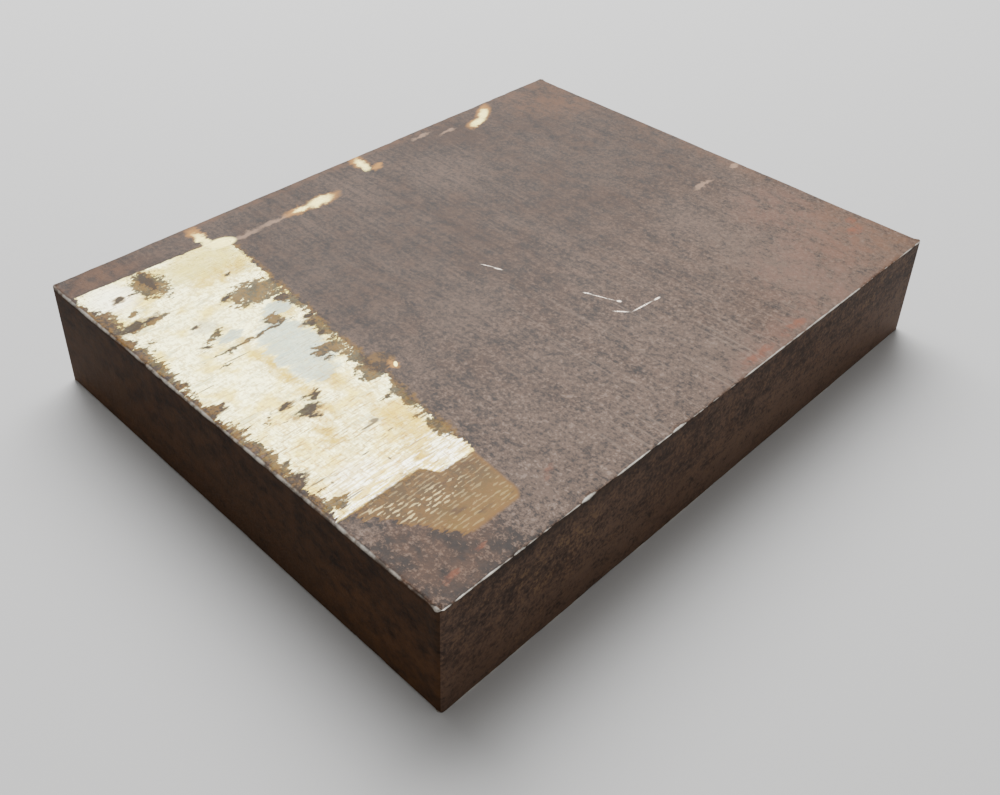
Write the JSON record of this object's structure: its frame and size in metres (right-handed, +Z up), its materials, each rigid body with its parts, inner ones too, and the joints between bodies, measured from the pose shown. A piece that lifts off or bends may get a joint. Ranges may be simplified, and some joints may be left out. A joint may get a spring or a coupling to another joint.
{
  "type": "steel flat bar",
  "caption": "Short sawn length of thick rectangular hot rolled steel flat bar, rusted, with a shallow ground strip along one side of its upper face.",
  "frame": {"origin": "middle of the face that the bar lies on", "axes": "+X across the rolled width, which is the longest side of this piece, +Y along the rolling direction between the two sawn ends, +Z up through the thickness"},
  "size_m": [0.15, 0.118, 0.025],
  "materials": {
    "rusted_steel": "hot rolled steel under a thin brown rust, rough and dull, with a strip ground back to bright metal and burnished edges"
  },
  "bodies": {
    "root": {"flat_bar": "rusted_steel"}
  },
  "joints": []
}
